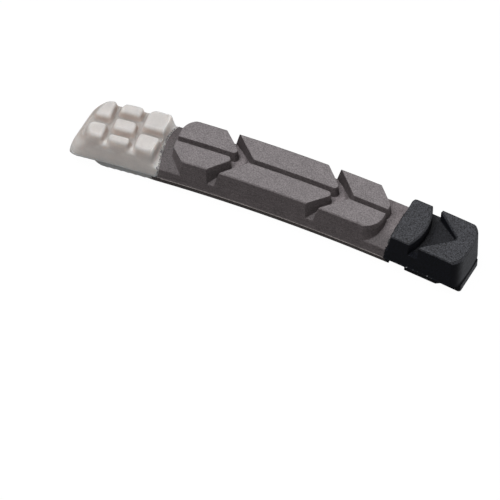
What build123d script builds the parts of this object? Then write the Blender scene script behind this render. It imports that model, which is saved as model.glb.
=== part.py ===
"""Insert brake pad of three rubber compounds that slides into a metal shoe by a rail on its back.

The long axis follows a rim. A point of the pad is given as a distance along the pad's middle line, a
distance across it (plus is the outer, convex side) and a height over the back of the rail.
"""
import math
import os

from build123d import *

# sizes in millimetres, angles in degrees
length = 72.0
rim_radius = 310.0
height = 8.75
face_width = 8.9
base_width = 10.0
shoulder_height = 2.95
bead_out = 0.1
bead_half = 0.16

# rail and lug on the back
rail_width = 7.44
rail_lip = 1.5
neck_width = 6.5
root_height = 1.95
root_overlap = 0.6
lip_slope = 0.12
rail_tip_gap = 2.8
lug_width = 7.54
lug_length = 10.25
lug_end_width = 6.6
lug_end_length = 3.7
lug_step = 0.7
lug_end_groove = 0.7
notch_length = 2.95
notch_floor = 2.9
tongue_width = 2.5
tongue_length = 1.6

# friction face
draft = 5.5
crown_height = 6.45
crown_edge_height = 4.9
slant = 45.0
groove_width = 0.95
groove_offset = -0.12
gap_width = 1.64
first_gap_part = 0.332
second_gap_part = 0.812
end_round = 3.1
arrow_round = 0.6
edge_bevel = 0.2
chevron_shift = 0.24
first_chamfer = 2.1
last_chamfer = 1.35

# white end
white_length = 15.7
white_wall_skew = 0.08
tip_skew = 0.17
tip_lean = 3.45
tip_round = 1.9
tip_bulge = 0.34
tip_narrow = 0.25
tip_narrow_face = 0.55
rim_bevel = 0.34
white_bevel = 0.3
white_groove_depth = 1.5
white_groove_draft = 14.0
white_cross_width = 1.2
white_long_width = 1.45
white_block_length = 3.55
white_lane_ends = -0.3
white_far_block = 2.225
white_near_block = 1.725
white_near_lane = 1.25
white_first = 3.43
white_first_round = 0.9
white_block_round = 0.4
white_far_round_part = 0.75
white_far_round = 0.8
white_near_round = 0.74
white_mouth_run = 0.6
white_mouth_drop = 0.5
white_over = 0.1

# black end
black_length = 12.75
first_block_length = 4.5
first_block_bulge = 1.15
first_block_round = 1.05
channel_width = 1.7
channel_flare = 0.3
channel_floor = 6.1
scoop_length = 4.45
scoop_rise = 1.5
scoop_far_ledge = 0.45
scoop_near_ledge = 0.55
scoop_tip_half = 0.25
black_end_round = 3.0
black_far_round = 3.6
black_end_lean = 0.05
black_end_in = 0.45
black_end_bulge = 0.45
scoop_shift = 0.35
black_bevel = 0.28
lug_corner_round = 0.5
lug_neck_inset = 0.4

# where the compounds meet
end_gap = 2.85
bond_bow = 0.32
white_bond_back = 1.75
black_bond_back = 0.75
white_bond_out = 0.6
black_bond_out = 0.8

# how far cutting outlines run past what they cut
side_clear = 0.35
end_clear = 3.0
run_out = 1.0
envelope_margin = 0.5
flare_out = 1.3
flare_run = 3.0
flare_end_run = 5.0
round_past = 0.12
tread_past = 0.4

# derived places along the pad
tip_at = -length / 2
end_at = length / 2
white_wall = tip_at + white_length
black_wall = end_at - black_length
first_left = white_wall + end_gap
last_right = black_wall - end_gap
span = last_right - first_left
lug_at = end_at - lug_length
notch_at = lug_at - notch_length
face_half = face_width / 2
base_half = base_width / 2
outside = base_half + side_clear
over = height + run_out
side_lean = (base_half - face_half) / (height - shoulder_height)
spin = Axis((0, -rim_radius, 0), (0, 0, -1))


def at(s, t):
    """Plan point of a place along (s) and across (t) the curved pad."""
    turn = s / rim_radius
    reach = rim_radius + t
    return (reach * math.sin(turn), reach * math.cos(turn) - rim_radius)


def across(s):
    """Plane that stands square to the pad's middle line, its x axis outward and its y axis up."""
    turn = s / rim_radius
    outward = (math.sin(turn), math.cos(turn), 0)
    forward = (math.cos(turn), -math.sin(turn), 0)
    return Plane(origin=(0, -rim_radius, 0), x_dir=outward, z_dir=forward)


def arc_between(start, stop):
    """Angle that the stretch from start to stop takes up on the rim."""
    return math.degrees((stop - start) / rim_radius)


def side_at(z):
    """Half width of the drafted side at a height."""
    return base_half - side_lean * (z - shoulder_height)


def level(z):
    """Horizontal plane at a height."""
    return Plane.XY.offset(z)


def corners_at(sketch, places):
    """Vertices of a sketch nearest to the given plan points."""
    return [sketch.vertices().sort_by_distance(place)[0] for place in places]


def outline_runs(z, inset):
    """Near side of the white end, run to the black end, its arc, run back and far side, at a height."""
    rise = (z - root_height) / (height - root_height)
    lean = tip_lean * rise * (1 - 2 * tip_bulge * (1 - rise))
    half = side_at(z) - inset
    tip_half = half - tip_narrow - (tip_narrow_face - tip_narrow) * rise
    mean_half = (half + tip_half) / 2
    near_tip = tip_at - tip_skew * half / 2 + lean + inset
    far_tip = near_tip + tip_skew * half * 2
    meet = white_wall + end_gap / 2
    end = end_at - black_end_in - black_end_lean * rise - inset
    flare = half + flare_out
    near = [at(near_tip, -tip_half), at((near_tip + meet) / 2, -mean_half), at(meet, -half)]
    far = [at(meet, half), at((far_tip + meet) / 2, mean_half), at(far_tip, tip_half)]
    ends = [at(end, -half), at(end, half)]
    near_run = [near[-1], at(meet + flare_run, -flare), at(end - flare_end_run, -flare), ends[0]]
    end_arc = [ends[0], at(end + black_end_bulge, 0), ends[1]]
    far_run = [ends[1], at(end - flare_end_run, flare), at(meet + flare_run, flare), far[0]]
    return near, near_run, end_arc, far_run, far


# lofted envelope that rounds and leans both ends of the pad, narrows the white one and bevels their rims
envelope_low = root_height - envelope_margin
cap_level = height - rim_bevel
envelope_rings = ((envelope_low, 0), ((envelope_low + cap_level) / 2, 0), (cap_level, 0))
cap_rings = ((cap_level, 0), (height + rim_bevel, rim_bevel * 2))
with BuildPart() as envelope:
    for rings in (envelope_rings, cap_rings):
        for z, inset in rings:
            near, near_run, end_arc, far_run, far = outline_runs(min(z, cap_level), inset)
            tips = (near[0], far[-1])
            with BuildSketch(level(z)) as ring:
                with BuildLine():
                    ThreePointArc(*near)
                    Polyline(*near_run)
                    ThreePointArc(*end_arc)
                    Polyline(*far_run)
                    ThreePointArc(*far)
                    Line(*tips)
                make_face()
                fillet(corners_at(ring, tips), tip_round - inset)
                fillet(corners_at(ring, end_arc[:1]), black_end_round - inset)
                fillet(corners_at(ring, end_arc[2:]), black_far_round - inset)
        loft(ruled=rings == cap_rings)

# region above the crowned floor of the brown tread
with BuildPart() as above_crown:
    with BuildSketch(across(tip_at - run_out)) as crown_section:
        with BuildLine():
            ThreePointArc(
                (rim_radius - base_half, crown_edge_height),
                (rim_radius, crown_height),
                (rim_radius + base_half, crown_edge_height),
            )
            Polyline(
                (rim_radius + base_half, crown_edge_height),
                (rim_radius + outside + run_out, crown_edge_height),
                (rim_radius + outside + run_out, over),
                (rim_radius - outside - run_out, over),
                (rim_radius - outside - run_out, crown_edge_height),
                (rim_radius - base_half, crown_edge_height),
            )
        make_face()
    revolve(axis=spin, revolution_arc=arc_between(tip_at - run_out, end_at + run_out))

# tread blocks of the middle compound, with the masses of both ends, run out past the sides
mid = groove_offset
slope = 1 / math.tan(math.radians(slant))
gap_run = gap_width / math.sin(math.radians(slant)) / 2
half_groove = groove_width / 2
round_reach = face_half + round_past
bend = end_round * (1 - math.sqrt(0.5))
corner = first_block_round * (1 - math.sqrt(0.5))
first_gap = first_left + first_gap_part * span
second_gap = first_left + second_gap_part * span
tread_low = crown_edge_height - tread_past


def slanted(gap, t):
    """Place along the pad where a chevron line through gap on the middle line reaches t."""
    return gap + math.copysign(chevron_shift, t - mid) - abs(t - mid) * slope


def groove_edge(start, stop, t):
    """Edge of the centre groove from start to stop."""
    ThreePointArc(at(start, t), at((start + stop) / 2, t), at(stop, t))


with BuildPart() as blocks:
    with BuildSketch(level(height)) as block_plan:
        far = mid + half_groove
        near = mid - half_groove
        arrows = []
        # first pair: round outer corner, chamfered inner corner, arrow towards the black end
        arrow = first_gap - gap_run
        with BuildLine():
            groove_edge(slanted(arrow, far), first_left, far)
            Line(at(first_left, far), at(first_left, round_reach - end_round))
            ThreePointArc(
                at(first_left, round_reach - end_round),
                at(first_left + bend, round_reach - bend),
                at(first_left + end_round, round_reach),
            )
            Polyline(
                at(first_left + end_round, round_reach),
                at(first_left + end_round, outside),
                at(slanted(arrow, outside), outside),
                at(slanted(arrow, far), far),
            )
        make_face()
        with BuildLine():
            groove_edge(slanted(arrow, near), first_left, near)
            Polyline(
                at(first_left, near),
                at(first_left, -first_chamfer),
                at(first_left + (outside - first_chamfer) * slope, -outside),
                at(slanted(arrow, -outside), -outside),
                at(slanted(arrow, near), near),
            )
        make_face()
        arrows.append(at(slanted(arrow, far), far))
        arrows.append(at(slanted(arrow, near), near))
        # middle pair between the two chevron gaps
        arrow = second_gap - gap_run
        hollow = first_gap + gap_run
        for side in (1, -1):
            edge = mid + side * half_groove
            with BuildLine():
                groove_edge(slanted(hollow, edge), slanted(arrow, edge), edge)
                Polyline(
                    at(slanted(arrow, edge), edge),
                    at(slanted(arrow, side * outside), side * outside),
                    at(slanted(hollow, side * outside), side * outside),
                    at(slanted(hollow, edge), edge),
                )
            make_face()
            arrows.append(at(slanted(arrow, edge), edge))
        # last pair: chamfered outer corner, round inner corner
        hollow = second_gap + gap_run
        with BuildLine():
            groove_edge(slanted(hollow, far), last_right, far)
            Polyline(
                at(last_right, far),
                at(last_right, last_chamfer),
                at(last_right - (outside - last_chamfer) * slope, outside),
                at(slanted(hollow, outside), outside),
                at(slanted(hollow, far), far),
            )
        make_face()
        with BuildLine():
            groove_edge(slanted(hollow, near), last_right, near)
            Line(at(last_right, near), at(last_right, end_round - round_reach))
            ThreePointArc(
                at(last_right, end_round - round_reach),
                at(last_right - bend, bend - round_reach),
                at(last_right - end_round, -round_reach),
            )
            Polyline(
                at(last_right - end_round, -round_reach),
                at(last_right - end_round, -outside),
                at(slanted(hollow, -outside), -outside),
                at(slanted(hollow, near), near),
            )
        make_face()
        # masses of the white and the black end
        with BuildLine():
            Polyline(
                at(tip_at - end_clear, -outside),
                at(white_wall - white_wall_skew * outside, -outside),
                at(white_wall + white_wall_skew * outside, outside),
                at(tip_at - end_clear, outside),
                close=True,
            )
        make_face()
        with BuildLine():
            Polyline(
                at(black_wall, round_reach - first_block_round),
                at(black_wall, -outside),
                at(end_at + end_clear, -outside),
                at(end_at + end_clear, outside),
                at(black_wall + first_block_round, outside),
                at(black_wall + first_block_round, round_reach),
            )
            ThreePointArc(
                at(black_wall + first_block_round, round_reach),
                at(black_wall + corner, round_reach - corner),
                at(black_wall, round_reach - first_block_round),
            )
        make_face()
        fillet(corners_at(block_plan, arrows), arrow_round)
    extrude(amount=over - height + run_out)
    extrude(block_plan.sketch, amount=-(height - tread_low), taper=-draft)

# what is cut out of the face: everything over the crowned floor that is not a block
with BuildPart() as tread_cut:
    add(above_crown.part)
    add(blocks.part, mode=Mode.SUBTRACT)

# seven low blocks of the white end, their corners rounded and their groove mouths opened out
cross_second = white_wall - white_block_length
cross_first = cross_second - white_cross_width - white_block_length
columns = (
    (tip_at - end_clear, cross_first - white_cross_width),
    (cross_first, cross_second - white_cross_width),
    (cross_second, white_wall + end_gap),
)
half_lane = white_long_width / 2
far_edge = face_half - white_far_block
near_edge = white_near_block - face_half
edge_rows = ((-outside, white_lane_ends - half_lane), (white_lane_ends + half_lane, outside))
middle_rows = (
    (-outside, near_edge),
    (near_edge + white_near_lane, far_edge - white_long_width),
    (far_edge, outside),
)
white_floor = height - white_groove_depth
white_flank = math.tan(math.radians(white_groove_draft))
white_levels = (
    (white_floor - run_out, (white_groove_depth + run_out - white_bevel) * white_flank),
    (height - white_bevel, 0),
    (height + white_over, -white_bevel - white_over),
)


def white_corners(start, stop, low, high, z, grow):
    """Corners of a white block's outline at a height, grown by a distance, each with its radius."""
    left = start - grow
    right = stop + grow
    small = white_block_round + grow / 2
    if low > -outside and high < outside:
        return [
            (left, low - grow, small),
            (right, low - grow, small),
            (right, high + grow, small),
            (left, high + grow, small),
        ]
    if high == outside:
        inner = low - grow
        side = outside
        brim = side_at(z)
        left_round = white_far_round_part * white_far_block + grow / 2
        right_round = white_far_round + grow / 2
    else:
        inner = high + grow
        side = -outside
        brim = -side_at(z)
        left_round = white_near_round + grow
        right_round = white_near_round + grow
    first = start < tip_at
    if first:
        left = tip_at + white_first + tip_skew * inner - grow
    corners = [(left, inner, white_first_round + grow / 2 if first else small), (right, inner, small)]
    if stop < white_wall:
        corners.append((right, brim, right_round))
        corners.append((right - right_round - round_past, brim, 0))
        corners.append((right - right_round - round_past, side, 0))
    else:
        corners.append((right, side, 0))
    if first:
        corners.append((left, side, 0))
    else:
        corners.append((left + left_round + round_past, side, 0))
        corners.append((left + left_round + round_past, brim, 0))
        corners.append((left, brim, left_round))
    return corners


with BuildPart() as white_blocks:
    for (start, stop), rows in zip(columns, (edge_rows, middle_rows, edge_rows)):
        for low, high in rows:
            for z, grow in white_levels:
                corners = white_corners(start, stop, low, high, z, grow)
                with BuildSketch(level(z)) as white_plan:
                    with BuildLine():
                        Polyline(*[at(s, t) for s, t, radius in corners], close=True)
                    make_face()
                    for s, t, radius in corners:
                        if radius:
                            fillet(corners_at(white_plan, [at(s, t)]), radius)
            loft(ruled=True)

# shallow grooves of the white end, their floor dropping where they run out at the inner side
with BuildPart() as white_cut:
    with BuildSketch(across(tip_at - run_out)) as white_section:
        with BuildLine():
            mouth = face_half - white_mouth_run
            mouth_floor = white_floor - white_mouth_drop * (outside - mouth) / white_mouth_run
            Polyline(
                (rim_radius - mouth, white_floor),
                (rim_radius + outside, white_floor),
                (rim_radius + outside, over),
                (rim_radius - outside, over),
                (rim_radius - outside, mouth_floor),
                close=True,
            )
        make_face()
    revolve(axis=spin, revolution_arc=arc_between(tip_at - run_out, white_wall + end_gap / 2))
    add(white_blocks.part, mode=Mode.SUBTRACT)

# channel across the black end and the ramped scoop that opens from it
bulge_at = black_wall + first_block_length
shoulder_at = bulge_at - first_block_bulge
bulge_end = bulge_at - first_block_bulge * (outside / face_half) ** 2
second_at = shoulder_at + channel_width
scoop_at = second_at + scoop_length
black_levels = (
    (channel_floor - run_out, 0),
    (height - black_bevel, 0),
    (height + black_bevel, black_bevel * 2),
)
with BuildPart() as black_blocks:
    for z, inset in black_levels:
        with BuildSketch(level(z)):
            with BuildLine():
                ThreePointArc(
                    at(bulge_end - inset, -outside),
                    at(bulge_at - inset, 0),
                    at(bulge_end - inset, outside),
                )
                Polyline(
                    at(bulge_end - inset, outside),
                    at(last_right, outside),
                    at(last_right, -outside),
                    at(bulge_end - inset, -outside),
                )
            make_face()
    loft(ruled=True)
    for z, inset in black_levels:
        with BuildSketch(level(z)):
            with BuildLine():
                Polyline(
                    at(second_at + inset, -outside),
                    at(end_at + end_clear, -outside),
                    at(end_at + end_clear, outside),
                    at(second_at + channel_flare + inset, outside),
                    at(second_at + inset, face_half - scoop_far_ledge + inset / 2),
                    at(scoop_at + inset, scoop_shift + scoop_tip_half + inset / 2),
                    at(scoop_at + inset, scoop_shift - scoop_tip_half - inset / 2),
                    at(second_at + inset, scoop_near_ledge - face_half - inset / 2),
                    close=True,
                )
            make_face()
    loft(ruled=True)

ramp_from = at((black_wall + bulge_end) / 2, 0)[0]
ramp_start = at(second_at, 0)[0]
ramp_end = at(scoop_at + run_out, 0)[0]
ramp_top = channel_floor + scoop_rise * (ramp_end - ramp_start) / scoop_length
with BuildPart() as black_cut:
    with BuildSketch(Plane.XZ):
        with BuildLine():
            Polyline(
                (ramp_from, channel_floor),
                (ramp_start, channel_floor),
                (ramp_end, ramp_top),
                (ramp_end, over),
                (ramp_from, over),
                close=True,
            )
        make_face()
    extrude(amount=base_width, both=True)
    add(black_blocks.part, mode=Mode.SUBTRACT)

# rail with its lip and neck, round at the white end
rail_half = rail_width / 2
neck_half = neck_width / 2
rail_at = tip_at + rail_tip_gap
with BuildPart() as rail:
    with BuildSketch(across(rail_at)):
        with BuildLine():
            Polyline(
                (rim_radius - rail_half, 0),
                (rim_radius + rail_half, 0),
                (rim_radius + rail_half, rail_lip),
                (rim_radius + neck_half, rail_lip + lip_slope),
                (rim_radius + neck_half, root_height + root_overlap),
                (rim_radius - neck_half, root_height + root_overlap),
                (rim_radius - neck_half, rail_lip + lip_slope),
                (rim_radius - rail_half, rail_lip),
                close=True,
            )
        make_face()
    revolve(axis=spin, revolution_arc=arc_between(rail_at, lug_at))
    with BuildSketch(Plane.XY) as rail_plan:
        with BuildLine():
            ThreePointArc(
                at(rail_at + rail_half, rail_half),
                at(rail_at, 0),
                at(rail_at + rail_half, -rail_half),
            )
            Polyline(
                at(rail_at + rail_half, -rail_half),
                at(rail_at + rail_half, -outside),
                at(lug_at + run_out, -outside),
                at(lug_at + run_out, outside),
                at(rail_at + rail_half, outside),
                at(rail_at + rail_half, rail_half),
            )
        make_face()
    extrude(amount=height, mode=Mode.INTERSECT)

# lug at the black end, stepped narrower at its outer part
lug_half = lug_width / 2
lug_end_half = lug_end_width / 2
lug_step_at = end_at - lug_end_length
with BuildPart() as lug:
    with BuildSketch(Plane.XY) as lug_plan:
        with BuildLine():
            Polyline(
                at(lug_at, -lug_half),
                at(lug_step_at - lug_step, -lug_half),
                at(lug_step_at, -lug_end_half),
                at(end_at, -lug_end_half),
                at(end_at, lug_end_half),
                at(lug_step_at, lug_end_half),
                at(lug_step_at - lug_step, lug_half),
                at(lug_at, lug_half),
                close=True,
            )
        make_face()
        lug_ends = [at(end_at, lug_end_half), at(end_at, -lug_end_half)]
        fillet(corners_at(lug_plan, lug_ends), lug_corner_round)
    extrude(amount=rail_lip)
    with BuildSketch(Plane.XY) as lug_neck:
        with BuildLine():
            Polyline(
                at(lug_at, -lug_end_half),
                at(end_at - lug_end_groove, lug_neck_inset - lug_end_half),
                at(end_at - lug_end_groove, lug_end_half - lug_neck_inset),
                at(lug_at, lug_end_half),
                close=True,
            )
        make_face()
    extrude(amount=root_height + root_overlap)

# the whole pad, before it is parted into its compounds
with BuildPart() as pad:
    with BuildSketch(across(tip_at - run_out)) as pad_section:
        with BuildLine():
            Polyline(
                (rim_radius - rail_half, root_height),
                (rim_radius + rail_half, root_height),
                (rim_radius + side_at(shoulder_height - bead_half), shoulder_height - bead_half),
                (rim_radius + base_half + bead_out, shoulder_height),
                (rim_radius + side_at(shoulder_height + bead_half), shoulder_height + bead_half),
                (rim_radius + face_half, height),
                (rim_radius - face_half, height),
                (rim_radius - side_at(shoulder_height + bead_half), shoulder_height + bead_half),
                (rim_radius - base_half - bead_out, shoulder_height),
                (rim_radius - side_at(shoulder_height - bead_half), shoulder_height - bead_half),
                close=True,
            )
        make_face()
        chamfer(pad_section.vertices().group_by(Axis.Y)[-1], edge_bevel)
    revolve(axis=spin, revolution_arc=arc_between(tip_at - run_out, end_at + run_out))
    add(envelope.part, mode=Mode.INTERSECT)
    add(tread_cut.part, mode=Mode.SUBTRACT)
    add(white_cut.part, mode=Mode.SUBTRACT)
    add(black_cut.part, mode=Mode.SUBTRACT)
    add(rail.part)
    add(lug.part)
    # notch for the keeper pin, with the tongue left on the rail's end
    with BuildSketch(Plane.XY) as notch_plan:
        with BuildLine():
            Polyline(
                at(notch_at, -outside),
                at(lug_at, -outside),
                at(lug_at, outside),
                at(notch_at, outside),
                close=True,
            )
        make_face()
        with BuildLine():
            tongue_half = tongue_width / 2
            tongue_run = notch_at + tongue_length - tongue_half
            Polyline(
                at(tongue_run, tongue_half),
                at(notch_at - run_out, tongue_half),
                at(notch_at - run_out, -tongue_half),
                at(tongue_run, -tongue_half),
            )
            ThreePointArc(
                at(tongue_run, -tongue_half),
                at(notch_at + tongue_length, 0),
                at(tongue_run, tongue_half),
            )
        make_face(mode=Mode.SUBTRACT)
    extrude(amount=notch_floor, mode=Mode.SUBTRACT)

# curved bond surfaces between the compounds
white_bond = white_wall + white_bond_out
black_bond = black_wall - black_bond_out
bond_levels = (-run_out, shoulder_height, over)
white_bond_at = (white_bond - white_bond_back, white_bond, white_bond)
black_bond_at = (black_bond - black_bond_back, black_bond, black_bond)
with BuildPart() as white_zone:
    for z, place in zip(bond_levels, white_bond_at):
        with BuildSketch(level(z)):
            with BuildLine():
                ThreePointArc(
                    at(place + bond_bow, -outside),
                    at(place - bond_bow, 0),
                    at(place + bond_bow, outside),
                )
                Polyline(
                    at(place + bond_bow, outside),
                    at(tip_at - end_clear, outside),
                    at(tip_at - end_clear, -outside),
                    at(place + bond_bow, -outside),
                )
            make_face()
    loft()
with BuildPart() as black_zone:
    for z, place in zip(bond_levels, black_bond_at):
        with BuildSketch(level(z)):
            with BuildLine():
                ThreePointArc(
                    at(place - bond_bow / 2, -outside),
                    at(place + bond_bow / 2, 0),
                    at(place - bond_bow / 2, outside),
                )
                Polyline(
                    at(place - bond_bow / 2, outside),
                    at(end_at + end_clear, outside),
                    at(end_at + end_clear, -outside),
                    at(place - bond_bow / 2, -outside),
                )
            make_face()
    loft()

# the three compounds
with BuildPart() as tip_rubber:
    add(pad.part)
    add(white_zone.part, mode=Mode.INTERSECT)
with BuildPart() as main_rubber:
    add(pad.part)
    add(white_zone.part, mode=Mode.SUBTRACT)
    add(black_zone.part, mode=Mode.SUBTRACT)
with BuildPart() as lug_rubber:
    add(pad.part)
    add(black_zone.part, mode=Mode.INTERSECT)

tip_rubber.part.label = "tip_rubber"
main_rubber.part.label = "main_rubber"
lug_rubber.part.label = "lug_rubber"

os.makedirs("parts", exist_ok=True)
export_step(tip_rubber.part, "parts/tip_rubber.step")
export_step(main_rubber.part, "parts/main_rubber.step")
export_step(lug_rubber.part, "parts/lug_rubber.step")
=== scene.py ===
"""Looks of the three-compound brake pad: rubber, a softened white end, floor, light and camera."""
import bpy
import numpy as np
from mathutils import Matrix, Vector
from types import SimpleNamespace


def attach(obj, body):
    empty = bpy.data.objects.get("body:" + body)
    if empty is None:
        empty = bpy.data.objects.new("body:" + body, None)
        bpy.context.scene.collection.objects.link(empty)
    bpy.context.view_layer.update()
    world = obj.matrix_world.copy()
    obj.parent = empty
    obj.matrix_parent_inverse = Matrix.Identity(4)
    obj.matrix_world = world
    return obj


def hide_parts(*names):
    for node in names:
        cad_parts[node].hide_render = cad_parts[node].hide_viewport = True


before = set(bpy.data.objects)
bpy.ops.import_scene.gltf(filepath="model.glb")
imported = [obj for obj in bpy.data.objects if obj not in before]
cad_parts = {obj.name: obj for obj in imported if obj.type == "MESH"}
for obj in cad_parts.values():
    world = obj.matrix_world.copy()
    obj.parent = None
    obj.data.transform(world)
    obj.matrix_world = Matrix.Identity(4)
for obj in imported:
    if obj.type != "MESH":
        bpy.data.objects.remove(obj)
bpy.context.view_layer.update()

# a millimetre in scene units, and the radius in mm of the pad's middle line
MM = 0.001
RIM = 310.0

# colours of the brown compound: the tops are lighter than floors and sides, partly a rougher top finish and
# partly painted light and shade
BROWN_TOP = (0.190, 0.172, 0.177)
BROWN_FLOOR = (0.106, 0.093, 0.096)
# painted light: the floor near the black end is lighter
BROWN_FLOOR_END_LIGHT = (0.185, 0.163, 0.168)
# painted light: floors of the open gaps between blocks
BROWN_GAP = (0.22, 0.195, 0.202)
BROWN_SIDE = (0.148, 0.128, 0.131)
# painted shade: the walls in the gaps
BROWN_WALL_SHADE = (0.082, 0.070, 0.072)
# painted light: the rail under the skirt is lighter, as if lit by light thrown back from the floor
BROWN_RAIL_LIGHT = (0.19, 0.163, 0.163)
# painted highlight on the bead at the seam
BROWN_SEAM = (0.40, 0.365, 0.35)
BROWN_STAIN = (0.20, 0.178, 0.184)

# colours of the white compound: groove floors and walls darker with painted shade, and near walls, lower
# sides, mouths, end wall and rail lighter with painted light; the seam has a painted highlight
WHITE_TOP = (0.585, 0.563, 0.548)
WHITE_FLOOR = (0.43, 0.40, 0.38)
# painted light on the groove mouths
WHITE_MOUTH_LIGHT = (0.86, 0.83, 0.80)
WHITE_WALL = (0.50, 0.44, 0.405)
WHITE_NEAR = (0.68, 0.63, 0.60)
WHITE_SIDE = (0.735, 0.69, 0.66)
# painted light on the end wall
WHITE_END_LIGHT = (0.80, 0.76, 0.73)
# painted light: the rail under the overhang, as if lit by light thrown back from the floor
WHITE_RAIL_LIGHT = (0.97, 0.95, 0.93)
# painted highlight on the bead at the seam
WHITE_SEAM_HIGHLIGHT = (1.0, 0.99, 0.98)
WHITE_BOND = (0.72, 0.69, 0.67)

# colours of the black compound: the tops are lighter than the floor and sides, partly a rougher finish and
# partly painted sheen
BLACK_TOP = (0.0335, 0.0345, 0.0395)
BLACK_FLOOR = (0.011, 0.0114, 0.0142)
BLACK_SIDE = (0.003, 0.0036, 0.0068)
# painted light on the outer end
BLACK_END = (0.095, 0.098, 0.106)
BLACK_CHIP = (0.42, 0.43, 0.44)
BLACK_BOND = (0.012, 0.012, 0.0135)

# Places are in mm: along the pad from its middle, across it with the near side below zero, and up from the
# rail's back. A range is a low and a high end with a smooth rise between them. A band is a middle, a half
# width and a soft edge. The seam is the parting line.
BACK_HEIGHT = (0.2, 0.5)
RAIL_HEIGHT = (1.5, 2.6)
TOP_HEIGHT = (7.9, 8.6)
SEAM = 2.95
# band of the painted highlight on the seam
SEAM_HIGHLIGHT_BAND = (SEAM, 0.05, 0.07)

# bonds along the pad, and the white one's bow in mm for each square mm across
WHITE_LINE = -20.05
BLACK_LINE = 22.45
BOND_BOW = 0.0224

# ranges of the surface normal's parts for faces that look up, down and along the pad
UP_FACING = (0.45, 0.98)
DOWN_FACING = (0.6, 0.95)
END_FACING = {"brown": (0.35, 0.9), "white": (0.35, 0.9), "black": (0.62, 0.95)}

# white compound: its grooves and their mouths on the near side with painted light, near walls, the end wall
# with painted light, and brown smears
WHITE_GROOVES = (-29.2, -24.45)
GROOVE_BAND = (0.0, 0.7, 0.5)
GROOVE_FLARE = 2.0
GROOVE_FLARE_HEIGHT = (5.9, 6.9)
MOUTH_ACROSS = (-4.4, -2.2)
MOUTH_BAND = (6.6, 0.7, 0.45)
MOUTH_UPRIGHT = 0.3
WHITE_NEAR_ACROSS = (-4.3, -3.6)
WHITE_BLOCK_HEIGHT = (5.4, 7.3)
END_WALL_SKEW = 0.08
END_WALL_ALONG = (-21.2, -20.8)
SMEAR_PAST = (-0.34, -0.26)
SMEAR_HEIGHT = (6.4, 6.6)

# brown compound: painted light on the floors of the gaps between its chevron blocks and near the black end,
# and painted shade on the walls in the gaps
BROWN_GAPS = (-6.7, 11.3)
GAP_HALF = 1.3
GAP_SOFT = 0.6
GAP_SLOPE = 0.55
GAP_ACROSS = (-4.4, -2.2)
FLOOR_LIGHT_ALONG = (15.0, 20.5)
FLOOR_LIGHT_ACROSS = (-4.0, -0.8)
GAP_WALL_BAND = (0.0, 13.0, 1.0)
RIGHT_WALL_SHARE = 0.5
BROWN_SEAM_HIGHLIGHT_SHARE = 0.75

# black compound: painted light on its outer end over a band of painted shadow below the skirt, the channel,
# dull channel mouth and chips
OUTER_ALONG = (33.0, 35.5)
OUTER_ACROSS = (-4.6, -2.0)
UNDERCUT_SHADOW_BAND = (2.1, 0.3, 0.25)
CHANNEL_ACROSS = (-4.2, -2.6)
DULL_ACROSS = (-4.2, -2.8)
DULL_HEIGHT = (6.9, 7.4)
DULL_ROUGH = 0.4
CHIP_HEIGHT = (SEAM, 0.14, 0.1)
CHIP_ALONG = (28.5, 2.5, 1.0)
CHIP_CUT = (0.56, 0.62)
CHIP_SHARE = 0.7
BLACK_END_CALM = 0.6

# ragged bonds: the white one leans below the seam and has a foot, and the black one shifts on the rail and
# on its back
FRAY_MIDDLE = 0.5
WHITE_FRAY = 2.6
WHITE_LEAN = 0.5
WHITE_FOOT = 0.7
WHITE_FOOT_HEIGHT = (3.6, 5.6)
WHITE_EDGE = (-0.04, 0.04)
BLACK_RAIL_HEIGHT = (2.0, 2.7)
BLACK_RAIL_SHIFT = 0.45
BLACK_BACK_HEIGHT = (0.1, 0.3)
BLACK_BACK_SHIFT = 0.95
BLACK_EDGE = (-0.05, 0.05)

# noises: scale per mm, detail and roughness, and how some of them are stretched
GRAIN = {"brown": 4.6, "white": 3.4, "black": 4.6}
GRAIN_NOISE = (2.0, 0.65)
FINE_NOISE = (7.0, 1.0, 0.5)
CLOUD_NOISE = (0.35, 3.0, 0.55)
STREAK_NOISE = (1.0, 3.0, 0.6)
STREAK_STRETCH = (0.25, 0.25, 2.5)
WEAVE_NOISE = (1.1, 3.0, 0.7)
WEAVE_STRETCH = (1.0, 3.2, 1.0)
CHIP_NOISE = (2.2, 2.0, 0.6)
CHIP_STRETCH = (1.0, 1.0, 0.6)
FRAY_NOISE = (2.0, 3.0, 0.75)

# what the noises do: spans of the noise, the brightness at both ends of a span, and bumps in mm with their
# strength
NOISE_SPAN = (0.3, 0.7)
WEAVE_SPAN = (0.32, 0.68)
SPECK = {"brown": (0.6, 1.4), "white": (0.97, 1.03), "black": (0.0, 2.3)}
CLOUD = (0.93, 1.07)
STREAK = {"brown": 0.12, "white": 0.02, "black": 0.12}
WEAVE = (0.55, 1.3)
FINE_BUMP = 0.03
FINE_RISE = 0.5
GRAIN_BUMP = 0.08
GRAIN_RISE = {"brown": 0.8, "white": 0.25, "black": 0.8}
STREAK_BUMP = 0.06
STREAK_RISE = 3.0

# print on the rail's back: its colour and strength, and its ragged border on the brown compound
BACK = {"brown": (0.26, 0.25, 0.245), "white": (0.80, 0.77, 0.75), "black": (0.075, 0.078, 0.082)}
CLOTH = {"brown": 0.85, "white": 0.3, "black": 0.85}
PRINT_EDGE = (3.8, 3.86)
PRINT_RAGGED = 0.9

# gloss of matte rubber, radius in mm of softened edges, and the depth in mm that light sinks into the white
ROUGH = 0.5
ROUGH_GRAIN = 0.2
SPECULAR = 0.3
EDGE = {"brown": 0.22, "white": 0.35, "black": 0.22}
EDGE_SAMPLES = 6
WHITE_DEPTH = 2.2
WHITE_SPREAD = (1.0, 0.92, 0.86)

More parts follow.
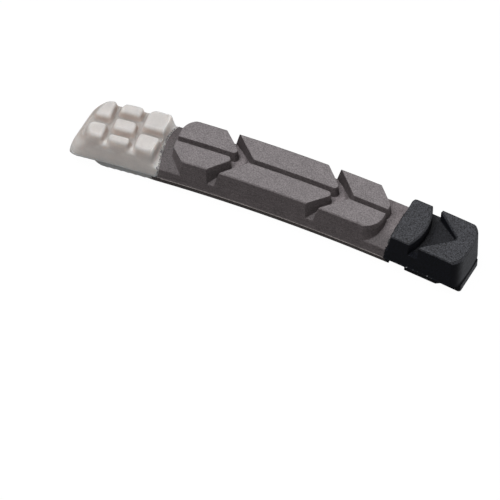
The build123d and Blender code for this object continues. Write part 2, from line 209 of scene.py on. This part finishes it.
# softening of the white end: mesh size in mm, rounds and share of each, and where it sets in above the seam
# and away from the bond
TIP_VOXEL = 0.11
TIP_ROUNDS = 30
TIP_SHARE = 0.5
TIP_HEIGHT = (3.3, 4.2)
TIP_BOND = (0.0, 0.3)

# the near block between the grooves, which is softened less, and corners that are rounded further, each
# with its place along and across and its rounds
FIRM_ACROSS = (-2.6, -2.2)
FIRM_START = (-29.0, -28.4)
FIRM_STOP = (-25.2, -24.6)
FIRM_SHARE = 0.7
BOND_CORNERS = ((-20.7, -4.5, 70), (-20.0, 4.5, 70))
GROOVE_CORNERS = tuple((groove, -4.7, 40) for groove in WHITE_GROOVES)
CORNER_REACH = (0.9, 1.9)

# floor of glowing paper, in m
FLOOR_SIZE = 3.0
PAPER = (0.03, 0.03, 0.03, 1)
PAPER_GLOW = 0.98

# camera: sensor and focal length in mm, clipping in m, place and aim in mm
SENSOR = 36
FOCAL = 214.94
CLIP_START = 0.01
CLIP_END = 10
CAMERA_PLACE = (112.658, -272.608, 408.885)
CAMERA_AIM = (0.325, -11.230, 0.0)

# light: the fill all round, and softboxes with place and size in m and power in W
WHITE = (1, 1, 1, 1)
FILL = 0.12
SOFTBOXES = {
    "key": ((-0.18, -0.22, 0.95), (0.7, 0.7), 9),
    "sheen": ((-0.2, 0.5, 0.75), (1.0, 0.4), 1.6),
    "rim": ((0.75, 0.45, 0.22), (0.3, 0.3), 3),
}

scene = bpy.context.scene
scene.view_settings.view_transform = "Standard"


class Nodes:
    """Short calls that add shader nodes to one material. Inputs are sockets or plain values."""

    def __init__(self, name):
        self.mat = bpy.data.materials.new(name)
        self.mat.use_nodes = True
        self.tree = self.mat.node_tree
        self.bsdf = self.tree.nodes["Principled BSDF"]

    def put(self, socket, value):
        if isinstance(value, bpy.types.NodeSocket):
            self.tree.links.new(value, socket)
        else:
            socket.default_value = value

    def math(self, op, a, b=0.0, clamp=False):
        n = self.tree.nodes.new("ShaderNodeMath")
        n.operation = op
        n.use_clamp = clamp
        self.put(n.inputs[0], a)
        self.put(n.inputs[1], b)
        return n.outputs[0]

    def add(self, a, b):
        return self.math("ADD", a, b)

    def less(self, a, b):
        """a minus b."""
        return self.math("SUBTRACT", a, b)

    def times(self, product, *factors):
        for factor in factors:
            product = self.math("MULTIPLY", product, factor)
        return product

    def most(self, a, b):
        return self.math("MAXIMUM", a, b)

    def size(self, x):
        return self.math("ABSOLUTE", x)

    def rest(self, share):
        """What a share leaves of 1."""
        return self.less(1.0, share)

    def above(self, x, low, high):
        """0 below low, 1 above high, smooth between them."""
        n = self.tree.nodes.new("ShaderNodeMapRange")
        n.interpolation_type = "SMOOTHSTEP"
        self.put(n.inputs["Value"], x)
        n.inputs["From Min"].default_value = low
        n.inputs["From Max"].default_value = high
        return n.outputs["Result"]

    def below(self, x, low, high):
        """1 below low, 0 above high, smooth between them."""
        return self.rest(self.above(x, low, high))

    def band(self, x, middle, half, soft):
        """1 within half of middle, 0 past soft more."""
        return self.below(self.size(self.less(x, middle)), half, half + soft)

    def noise(self, vector, scale, detail, rough):
        n = self.tree.nodes.new("ShaderNodeTexNoise")
        self.put(n.inputs["Vector"], vector)
        n.inputs["Scale"].default_value = scale
        n.inputs["Detail"].default_value = detail
        n.inputs["Roughness"].default_value = rough
        return n.outputs["Fac"]

    def stretch(self, vector, factors):
        n = self.tree.nodes.new("ShaderNodeVectorMath")
        n.operation = "MULTIPLY"
        self.put(n.inputs[0], vector)
        n.inputs[1].default_value = factors
        return n.outputs[0]

    def split(self, vector):
        n = self.tree.nodes.new("ShaderNodeSeparateXYZ")
        self.put(n.inputs[0], vector)
        return n.outputs

    def mix(self, fac, a, b, blend="MIX"):
        n = self.tree.nodes.new("ShaderNodeMix")
        n.data_type = "RGBA"
        n.blend_type = blend
        self.put(n.inputs[0], fac)
        for socket, value in ((n.inputs[6], a), (n.inputs[7], b)):
            self.put(socket, value if isinstance(value, bpy.types.NodeSocket) else (*value, 1.0))
        return n.outputs[2]

    def shade(self, fac, colour, noise, span, greys):
        """Multiplies a colour by greys that follow a noise from one end of span to the other."""
        n = self.tree.nodes.new("ShaderNodeValToRGB")
        self.put(n.inputs["Fac"], noise)
        for element, place, grey in zip(n.color_ramp.elements, span, greys):
            element.position = place
            element.color = (grey, grey, grey, 1.0)
        return self.mix(fac, colour, n.outputs["Color"], "MULTIPLY")

    def bump(self, height, distance, strength, normal):
        n = self.tree.nodes.new("ShaderNodeBump")
        n.inputs["Strength"].default_value = strength
        n.inputs["Distance"].default_value = distance
        self.put(n.inputs["Height"], height)
        self.put(n.inputs["Normal"], normal)
        return n.outputs["Normal"]


def pad_places(g, kind):
    """Sockets for the place on the pad in mm and for the way that its surface faces."""
    coord = g.tree.nodes.new("ShaderNodeTexCoord")
    mm = g.stretch(coord.outputs["Object"], (1 / MM, 1 / MM, 1 / MM))
    x, y, z = g.split(mm)
    deep = g.add(y, RIM)
    out = g.math("SQRT", g.add(g.times(x, x), g.times(deep, deep)))
    geometry = g.tree.nodes.new("ShaderNodeNewGeometry")
    normal_x, _, normal_z = g.split(geometry.outputs["Normal"])
    return SimpleNamespace(
        mm=mm,
        along=g.times(g.math("ARCTAN2", x, deep), RIM),
        across=g.less(out, RIM),
        z=z,
        top=g.above(z, *TOP_HEIGHT),
        normal_x=normal_x,
        normal_z=normal_z,
        up=g.above(normal_z, *UP_FACING),
        end=g.above(normal_x, *END_FACING[kind]),
    )


def chipping(g, at):
    """Noise of chipped and ragged edges."""
    return g.noise(g.stretch(at.mm, CHIP_STRETCH), *CHIP_NOISE)


def fraying(g, at):
    """Noise of the ragged bonds, which swings about zero."""
    return g.less(g.noise(at.mm, *FRAY_NOISE), FRAY_MIDDLE)


def past_white(g, at, fray):
    """Distance past the ragged line where the white compound ends, towards the white end."""
    bow = g.times(at.across, at.across, BOND_BOW)
    foot = g.times(g.below(at.z, *WHITE_FOOT_HEIGHT), WHITE_FOOT)
    low = g.add(g.most(g.less(SEAM, at.z), 0.0), foot)
    line = g.less(g.add(WHITE_LINE, bow), g.times(low, WHITE_LEAN))
    return g.add(g.less(line, at.along), g.times(fray, WHITE_FRAY))


def past_black(g, at, fray):
    """Distance past the ragged line where the black compound starts, towards the black end."""
    rail_shift = g.times(g.below(at.z, *BLACK_RAIL_HEIGHT), BLACK_RAIL_SHIFT)
    back_shift = g.times(g.below(at.z, *BLACK_BACK_HEIGHT), BLACK_BACK_SHIFT)
    line = g.add(BLACK_LINE, g.less(rail_shift, back_shift))
    return g.less(g.less(at.along, line), fray)


def white_coat(g, at):
    """White compound: painted shade in the grooves, painted light on their mouths, near walls, lower sides,
    end wall and rail, a painted highlight on the seam, and brown smears along its bond.
    """
    # painted light on the groove mouths at the near side
    flare = g.less(GROOVE_FLARE, g.above(at.z, *GROOVE_FLARE_HEIGHT))
    offsets = [g.math("DIVIDE", g.less(at.along, place), flare) for place in WHITE_GROOVES]
    grooves = g.most(*[g.band(offset, *GROOVE_BAND) for offset in offsets])
    lit = g.add(MOUTH_UPRIGHT, g.times(at.up, 1.0 - MOUTH_UPRIGHT))
    mouth = g.times(grooves, g.below(at.across, *MOUTH_ACROSS), g.band(at.z, *MOUTH_BAND), lit)
    # painted light and shade: lighter near walls and lower sides, darker groove walls and floors
    wall = g.mix(g.above(at.across, *WHITE_NEAR_ACROSS), WHITE_NEAR, WHITE_WALL)
    colour = g.mix(g.above(at.z, *WHITE_BLOCK_HEIGHT), WHITE_SIDE, g.mix(at.up, wall, WHITE_FLOOR))
    colour = g.mix(mouth, colour, WHITE_MOUTH_LIGHT)
    colour = g.mix(at.top, colour, WHITE_TOP)
    # painted light on the white end's wall that faces the brown compound
    skewed = g.less(at.along, g.times(at.across, END_WALL_SKEW))
    end_wall_light = g.times(g.above(skewed, *END_WALL_ALONG), at.end)
    colour = g.mix(end_wall_light, colour, WHITE_END_LIGHT)
    # painted light on the rail under the overhang
    colour = g.mix(g.below(at.z, *RAIL_HEIGHT), colour, WHITE_RAIL_LIGHT)
    # painted highlight on the bead at the seam
    colour = g.mix(g.band(at.z, *SEAM_HIGHLIGHT_BAND), colour, WHITE_SEAM_HIGHLIGHT)
    beside = g.below(past_white(g, at, fraying(g, at)), *SMEAR_PAST)
    smears = g.times(beside, g.below(at.z, *SMEAR_HEIGHT), g.rest(at.end))
    return g.mix(smears, colour, BROWN_STAIN)


def brown_coat(g, at):
    """Brown compound: tops lighter than floors and sides, partly finish and partly painted shade; painted
    light on the gap floors, the floor at the black end and the rail; painted shade on the gap walls; a
    painted highlight on the seam; and both ragged bonds.
    """
    # painted light on the floors of the gaps between blocks, but not at their near mouths
    vee = g.add(at.along, g.times(g.size(at.across), GAP_SLOPE))
    gaps = g.most(*[g.band(vee, place, GAP_HALF, GAP_SOFT) for place in BROWN_GAPS])
    gaps = g.times(gaps, g.above(at.across, *GAP_ACROSS))
    # painted light on the floor near the black end
    floor_light = g.times(g.above(at.along, *FLOOR_LIGHT_ALONG), g.above(at.across, *FLOOR_LIGHT_ACROSS))
    floor = g.mix(floor_light, g.mix(gaps, BROWN_FLOOR, BROWN_GAP), BROWN_FLOOR_END_LIGHT)
    # painted shade on gap walls that face along the pad, less on those facing the black end
    left = g.above(g.times(at.normal_x, -1.0), *END_FACING["brown"])
    sideways = g.add(left, g.times(at.end, RIGHT_WALL_SHARE))
    gap_wall_shade = g.times(sideways, g.band(at.along, *GAP_WALL_BAND))
    side = g.mix(gap_wall_shade, BROWN_SIDE, BROWN_WALL_SHADE)
    # tops lighter than floors and sides: partly their rougher finish, partly painted light and shade
    colour = g.mix(at.up, side, g.mix(at.top, floor, BROWN_TOP))
    # painted light on the rail under the skirt
    colour = g.mix(g.below(at.z, *RAIL_HEIGHT), colour, BROWN_RAIL_LIGHT)
    # painted highlight on the bead at the seam
    colour = g.mix(g.times(g.band(at.z, *SEAM_HIGHLIGHT_BAND), BROWN_SEAM_HIGHLIGHT_SHARE), colour, BROWN_SEAM)
    fray = fraying(g, at)
    colour = g.mix(g.above(past_white(g, at, fray), *WHITE_EDGE), colour, WHITE_BOND)
    return g.mix(g.above(past_black(g, at, fray), *BLACK_EDGE), colour, BLACK_BOND)


def black_coat(g, at):
    """Black compound: tops lighter, partly finish and partly painted sheen, painted shade at the channel's
    near mouth, painted light on the outer end over painted shadow, and pale chips on the parting line.
    """
    # painted light on the outer end, left out in a band of painted shadow below the skirt
    outer = g.times(g.above(at.along, *OUTER_ALONG), g.above(at.across, *OUTER_ACROSS))
    outer = g.times(outer, g.rest(g.band(at.z, *UNDERCUT_SHADOW_BAND)))
    side = g.mix(g.times(outer, at.end), BLACK_SIDE, BLACK_END)
    # painted shade: the channel floor turns as dark as the sides at its near mouth
    floor = g.mix(g.above(at.across, *CHANNEL_ACROSS), BLACK_SIDE, BLACK_FLOOR)
    # tops lighter, partly finish and partly painted sheen
    colour = g.mix(at.up, side, g.mix(at.top, floor, BLACK_TOP))
    chips = g.times(g.band(at.z, *CHIP_HEIGHT), g.above(chipping(g, at), *CHIP_CUT))
    chips = g.times(chips, g.band(at.along, *CHIP_ALONG), CHIP_SHARE)
    return g.mix(chips, colour, BLACK_CHIP)


COATS = {"white": white_coat, "brown": brown_coat, "black": black_coat}


def printed_back(g, at, kind):
    """1 on the rail's back, inside a ragged border on the brown compound, and 0 elsewhere."""
    back = g.above(g.times(at.normal_z, -1.0), *DOWN_FACING)
    back = g.times(back, g.below(at.z, *BACK_HEIGHT))
    if kind == "brown":
        border = g.add(g.size(at.across), g.times(chipping(g, at), PRINT_RAGGED))
        back = g.times(back, g.below(border, *PRINT_EDGE))
    return back


def rubber(name, kind):
    """Rubber of one compound: its coat and printed back, with grain, streaks, gloss and softened edges."""
    g = Nodes(name)
    at = pad_places(g, kind)
    back = printed_back(g, at, kind)
    colour = g.mix(back, COATS[kind](g, at), BACK[kind])

    # grain, dust and side streaks over the colour, and the cloth print on the back
    grain = g.noise(at.mm, GRAIN[kind], *GRAIN_NOISE)
    cloud = g.noise(at.mm, *CLOUD_NOISE)
    streak = g.noise(g.stretch(at.mm, STREAK_STRETCH), *STREAK_NOISE)
    weave = g.noise(g.stretch(at.mm, WEAVE_STRETCH), *WEAVE_NOISE)
    grainy = g.rest(g.times(at.end, BLACK_END_CALM)) if kind == "black" else 1.0
    streaked = (1.0 - STREAK[kind], 1.0 + STREAK[kind])
    colour = g.shade(grainy, colour, grain, NOISE_SPAN, SPECK[kind])
    colour = g.shade(1.0, colour, cloud, NOISE_SPAN, CLOUD)
    colour = g.shade(g.rest(at.up), colour, streak, NOISE_SPAN, streaked)
    colour = g.shade(g.times(back, CLOTH[kind]), colour, weave, WEAVE_SPAN, WEAVE)
    g.put(g.bsdf.inputs["Base Color"], colour)

    # matte gloss, duller in the black channel's mouth, and light that sinks into the white compound
    rough = g.add(ROUGH, g.times(grain, ROUGH_GRAIN))
    if kind == "black":
        dull = g.times(at.up, g.below(at.across, *DULL_ACROSS), g.below(at.z, *DULL_HEIGHT))
        rough = g.math("ADD", rough, g.times(dull, DULL_ROUGH), clamp=True)
    g.put(g.bsdf.inputs["Roughness"], rough)
    g.bsdf.inputs["Specular IOR Level"].default_value = SPECULAR
    if kind == "white":
        g.bsdf.inputs["Subsurface Weight"].default_value = 1.0
        g.bsdf.inputs["Subsurface Radius"].default_value = WHITE_SPREAD
        g.bsdf.inputs["Subsurface Scale"].default_value = WHITE_DEPTH * MM

    # softened edges with the grain and the streaks raised on them
    edge = g.tree.nodes.new("ShaderNodeBevel")
    edge.samples = EDGE_SAMPLES
    edge.inputs["Radius"].default_value = EDGE[kind] * MM
    fine = g.noise(at.mm, *FINE_NOISE)
    skin = g.bump(fine, FINE_BUMP * MM, FINE_RISE, edge.outputs["Normal"])
    skin = g.bump(grain, GRAIN_BUMP * MM, GRAIN_RISE[kind], skin)
    skin = g.bump(streak, STREAK_BUMP * MM, STREAK_RISE * STREAK[kind], skin)
    g.put(g.bsdf.inputs["Normal"], skin)
    return g.mat


def dress(piece, look):
    """Gives a piece one material."""
    piece.data.materials.clear()
    piece.data.materials.append(look)


looks = {
    "tip_rubber": rubber("white_rubber", "white"),
    "main_rubber": rubber("taupe_rubber", "brown"),
    "lug_rubber": rubber("black_rubber", "black"),
}
for name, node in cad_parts.items():
    dress(node, looks[name])


def relax(points, edges, share, rounds):
    """Evens out mesh points sideways, by a share of the way to their neighbours' mean in each round."""
    first, second = edges.T
    count = len(points)
    degree = np.bincount(edges.ravel(), minlength=count)
    for _ in range(rounds):
        for axis in (0, 1):
            place = points[:, axis]
            total = np.bincount(first, place[second], count) + np.bincount(second, place[first], count)
            points[:, axis] = place + share * (total / degree - place)


def fade(values, low, high):
    """0 below low, 1 above high, straight between them."""
    return np.clip((values - low) / (high - low), 0.0, 1.0)


def even_mesh(node):
    """A new piece with a node's shape, in faces of about one size."""
    shape = bpy.data.objects.new("white_tip", node.data.copy())
    scene.collection.objects.link(shape)
    even = shape.modifiers.new("even", "REMESH")
    even.mode = "VOXEL"
    even.voxel_size = TIP_VOXEL * MM
    ready = shape.evaluated_get(bpy.context.evaluated_depsgraph_get())
    mesh = bpy.data.meshes.new_from_object(ready)
    shape.modifiers.clear()
    shape.data = mesh
    return shape


def soft_tip(node):
    """The white end with the flared block feet and the round corners of a soft moulding."""
    shape = even_mesh(node)
    mesh = shape.data
    points = np.empty(len(mesh.vertices) * 3)
    mesh.vertices.foreach_get("co", points)
    points = points.reshape(-1, 3) / MM
    edges = np.empty(len(mesh.edges) * 2, int)
    mesh.edges.foreach_get("vertices", edges)
    edges = edges.reshape(-1, 2)

    # how far each point may move: not at all on the bond or near the seam, and less on the firm block
    deep = points[:, 1] + RIM
    along = np.arctan2(points[:, 0], deep) * RIM
    across = np.hypot(points[:, 0], deep) - RIM
    bond = WHITE_LINE + BOND_BOW * across * across
    free = TIP_SHARE * fade(points[:, 2], *TIP_HEIGHT) * fade(bond - along, *TIP_BOND)
    firm = fade(along, *FIRM_START) * (1.0 - fade(along, *FIRM_STOP)) * (1.0 - fade(across, *FIRM_ACROSS))
    relax(points, edges, free * (1.0 - FIRM_SHARE * firm), TIP_ROUNDS)
    for place, side, rounds in BOND_CORNERS + GROOVE_CORNERS:
        near = 1.0 - fade(np.hypot(along - place, across - side), *CORNER_REACH)
        relax(points, edges, free * near, rounds)
    mesh.vertices.foreach_set("co", (points * MM).ravel())
    mesh.polygons.foreach_set("use_smooth", [True] * len(mesh.polygons))
    mesh.update()
    return shape


white_tip = soft_tip(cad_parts["tip_rubber"])
dress(white_tip, looks["tip_rubber"])
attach(white_tip, "root")
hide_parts("tip_rubber")

# pale floor that glows evenly and throws no light back on the pad
bpy.ops.mesh.primitive_plane_add(size=FLOOR_SIZE, location=(0, 0, 0))
floor = bpy.context.object
floor.name = "floor"
floor.visible_diffuse = False
floor.visible_glossy = False
paper = Nodes("paper")
paper.bsdf.inputs["Base Color"].default_value = PAPER
paper.bsdf.inputs["Roughness"].default_value = 1.0
paper.bsdf.inputs["Specular IOR Level"].default_value = 0.0
paper.bsdf.inputs["Emission Color"].default_value = WHITE
paper.bsdf.inputs["Emission Strength"].default_value = PAPER_GLOW
floor.data.materials.append(paper.mat)

# camera of the photo
lens = bpy.data.cameras.new("camera")
lens.sensor_width = SENSOR
lens.lens = FOCAL
lens.clip_start = CLIP_START
lens.clip_end = CLIP_END
camera = bpy.data.objects.new("camera", lens)
scene.collection.objects.link(camera)
camera.location = [part * MM for part in CAMERA_PLACE]
aim = Vector(CAMERA_AIM) * MM
camera.rotation_euler = (aim - camera.location).to_track_quat("-Z", "Y").to_euler()
scene.camera = camera

# soft light from above, a sheen light from behind, a low one from the black end and a fill all round
world = bpy.data.worlds.new("world")
scene.world = world
world.use_nodes = True
sky = world.node_tree.nodes["Background"]
sky.inputs["Color"].default_value = WHITE
sky.inputs["Strength"].default_value = FILL


def softbox(name, place, size, power):
    """A soft rectangular light that points at the pad."""
    lamp = bpy.data.lights.new(name, "AREA")
    lamp.shape = "RECTANGLE"
    lamp.size, lamp.size_y = size
    lamp.energy = power
    lit = bpy.data.objects.new(name, lamp)
    scene.collection.objects.link(lit)
    lit.location = place
    lit.rotation_euler = (-lit.location).to_track_quat("-Z", "Y").to_euler()


for name, (place, size, power) in SOFTBOXES.items():
    softbox(name, place, size, power)
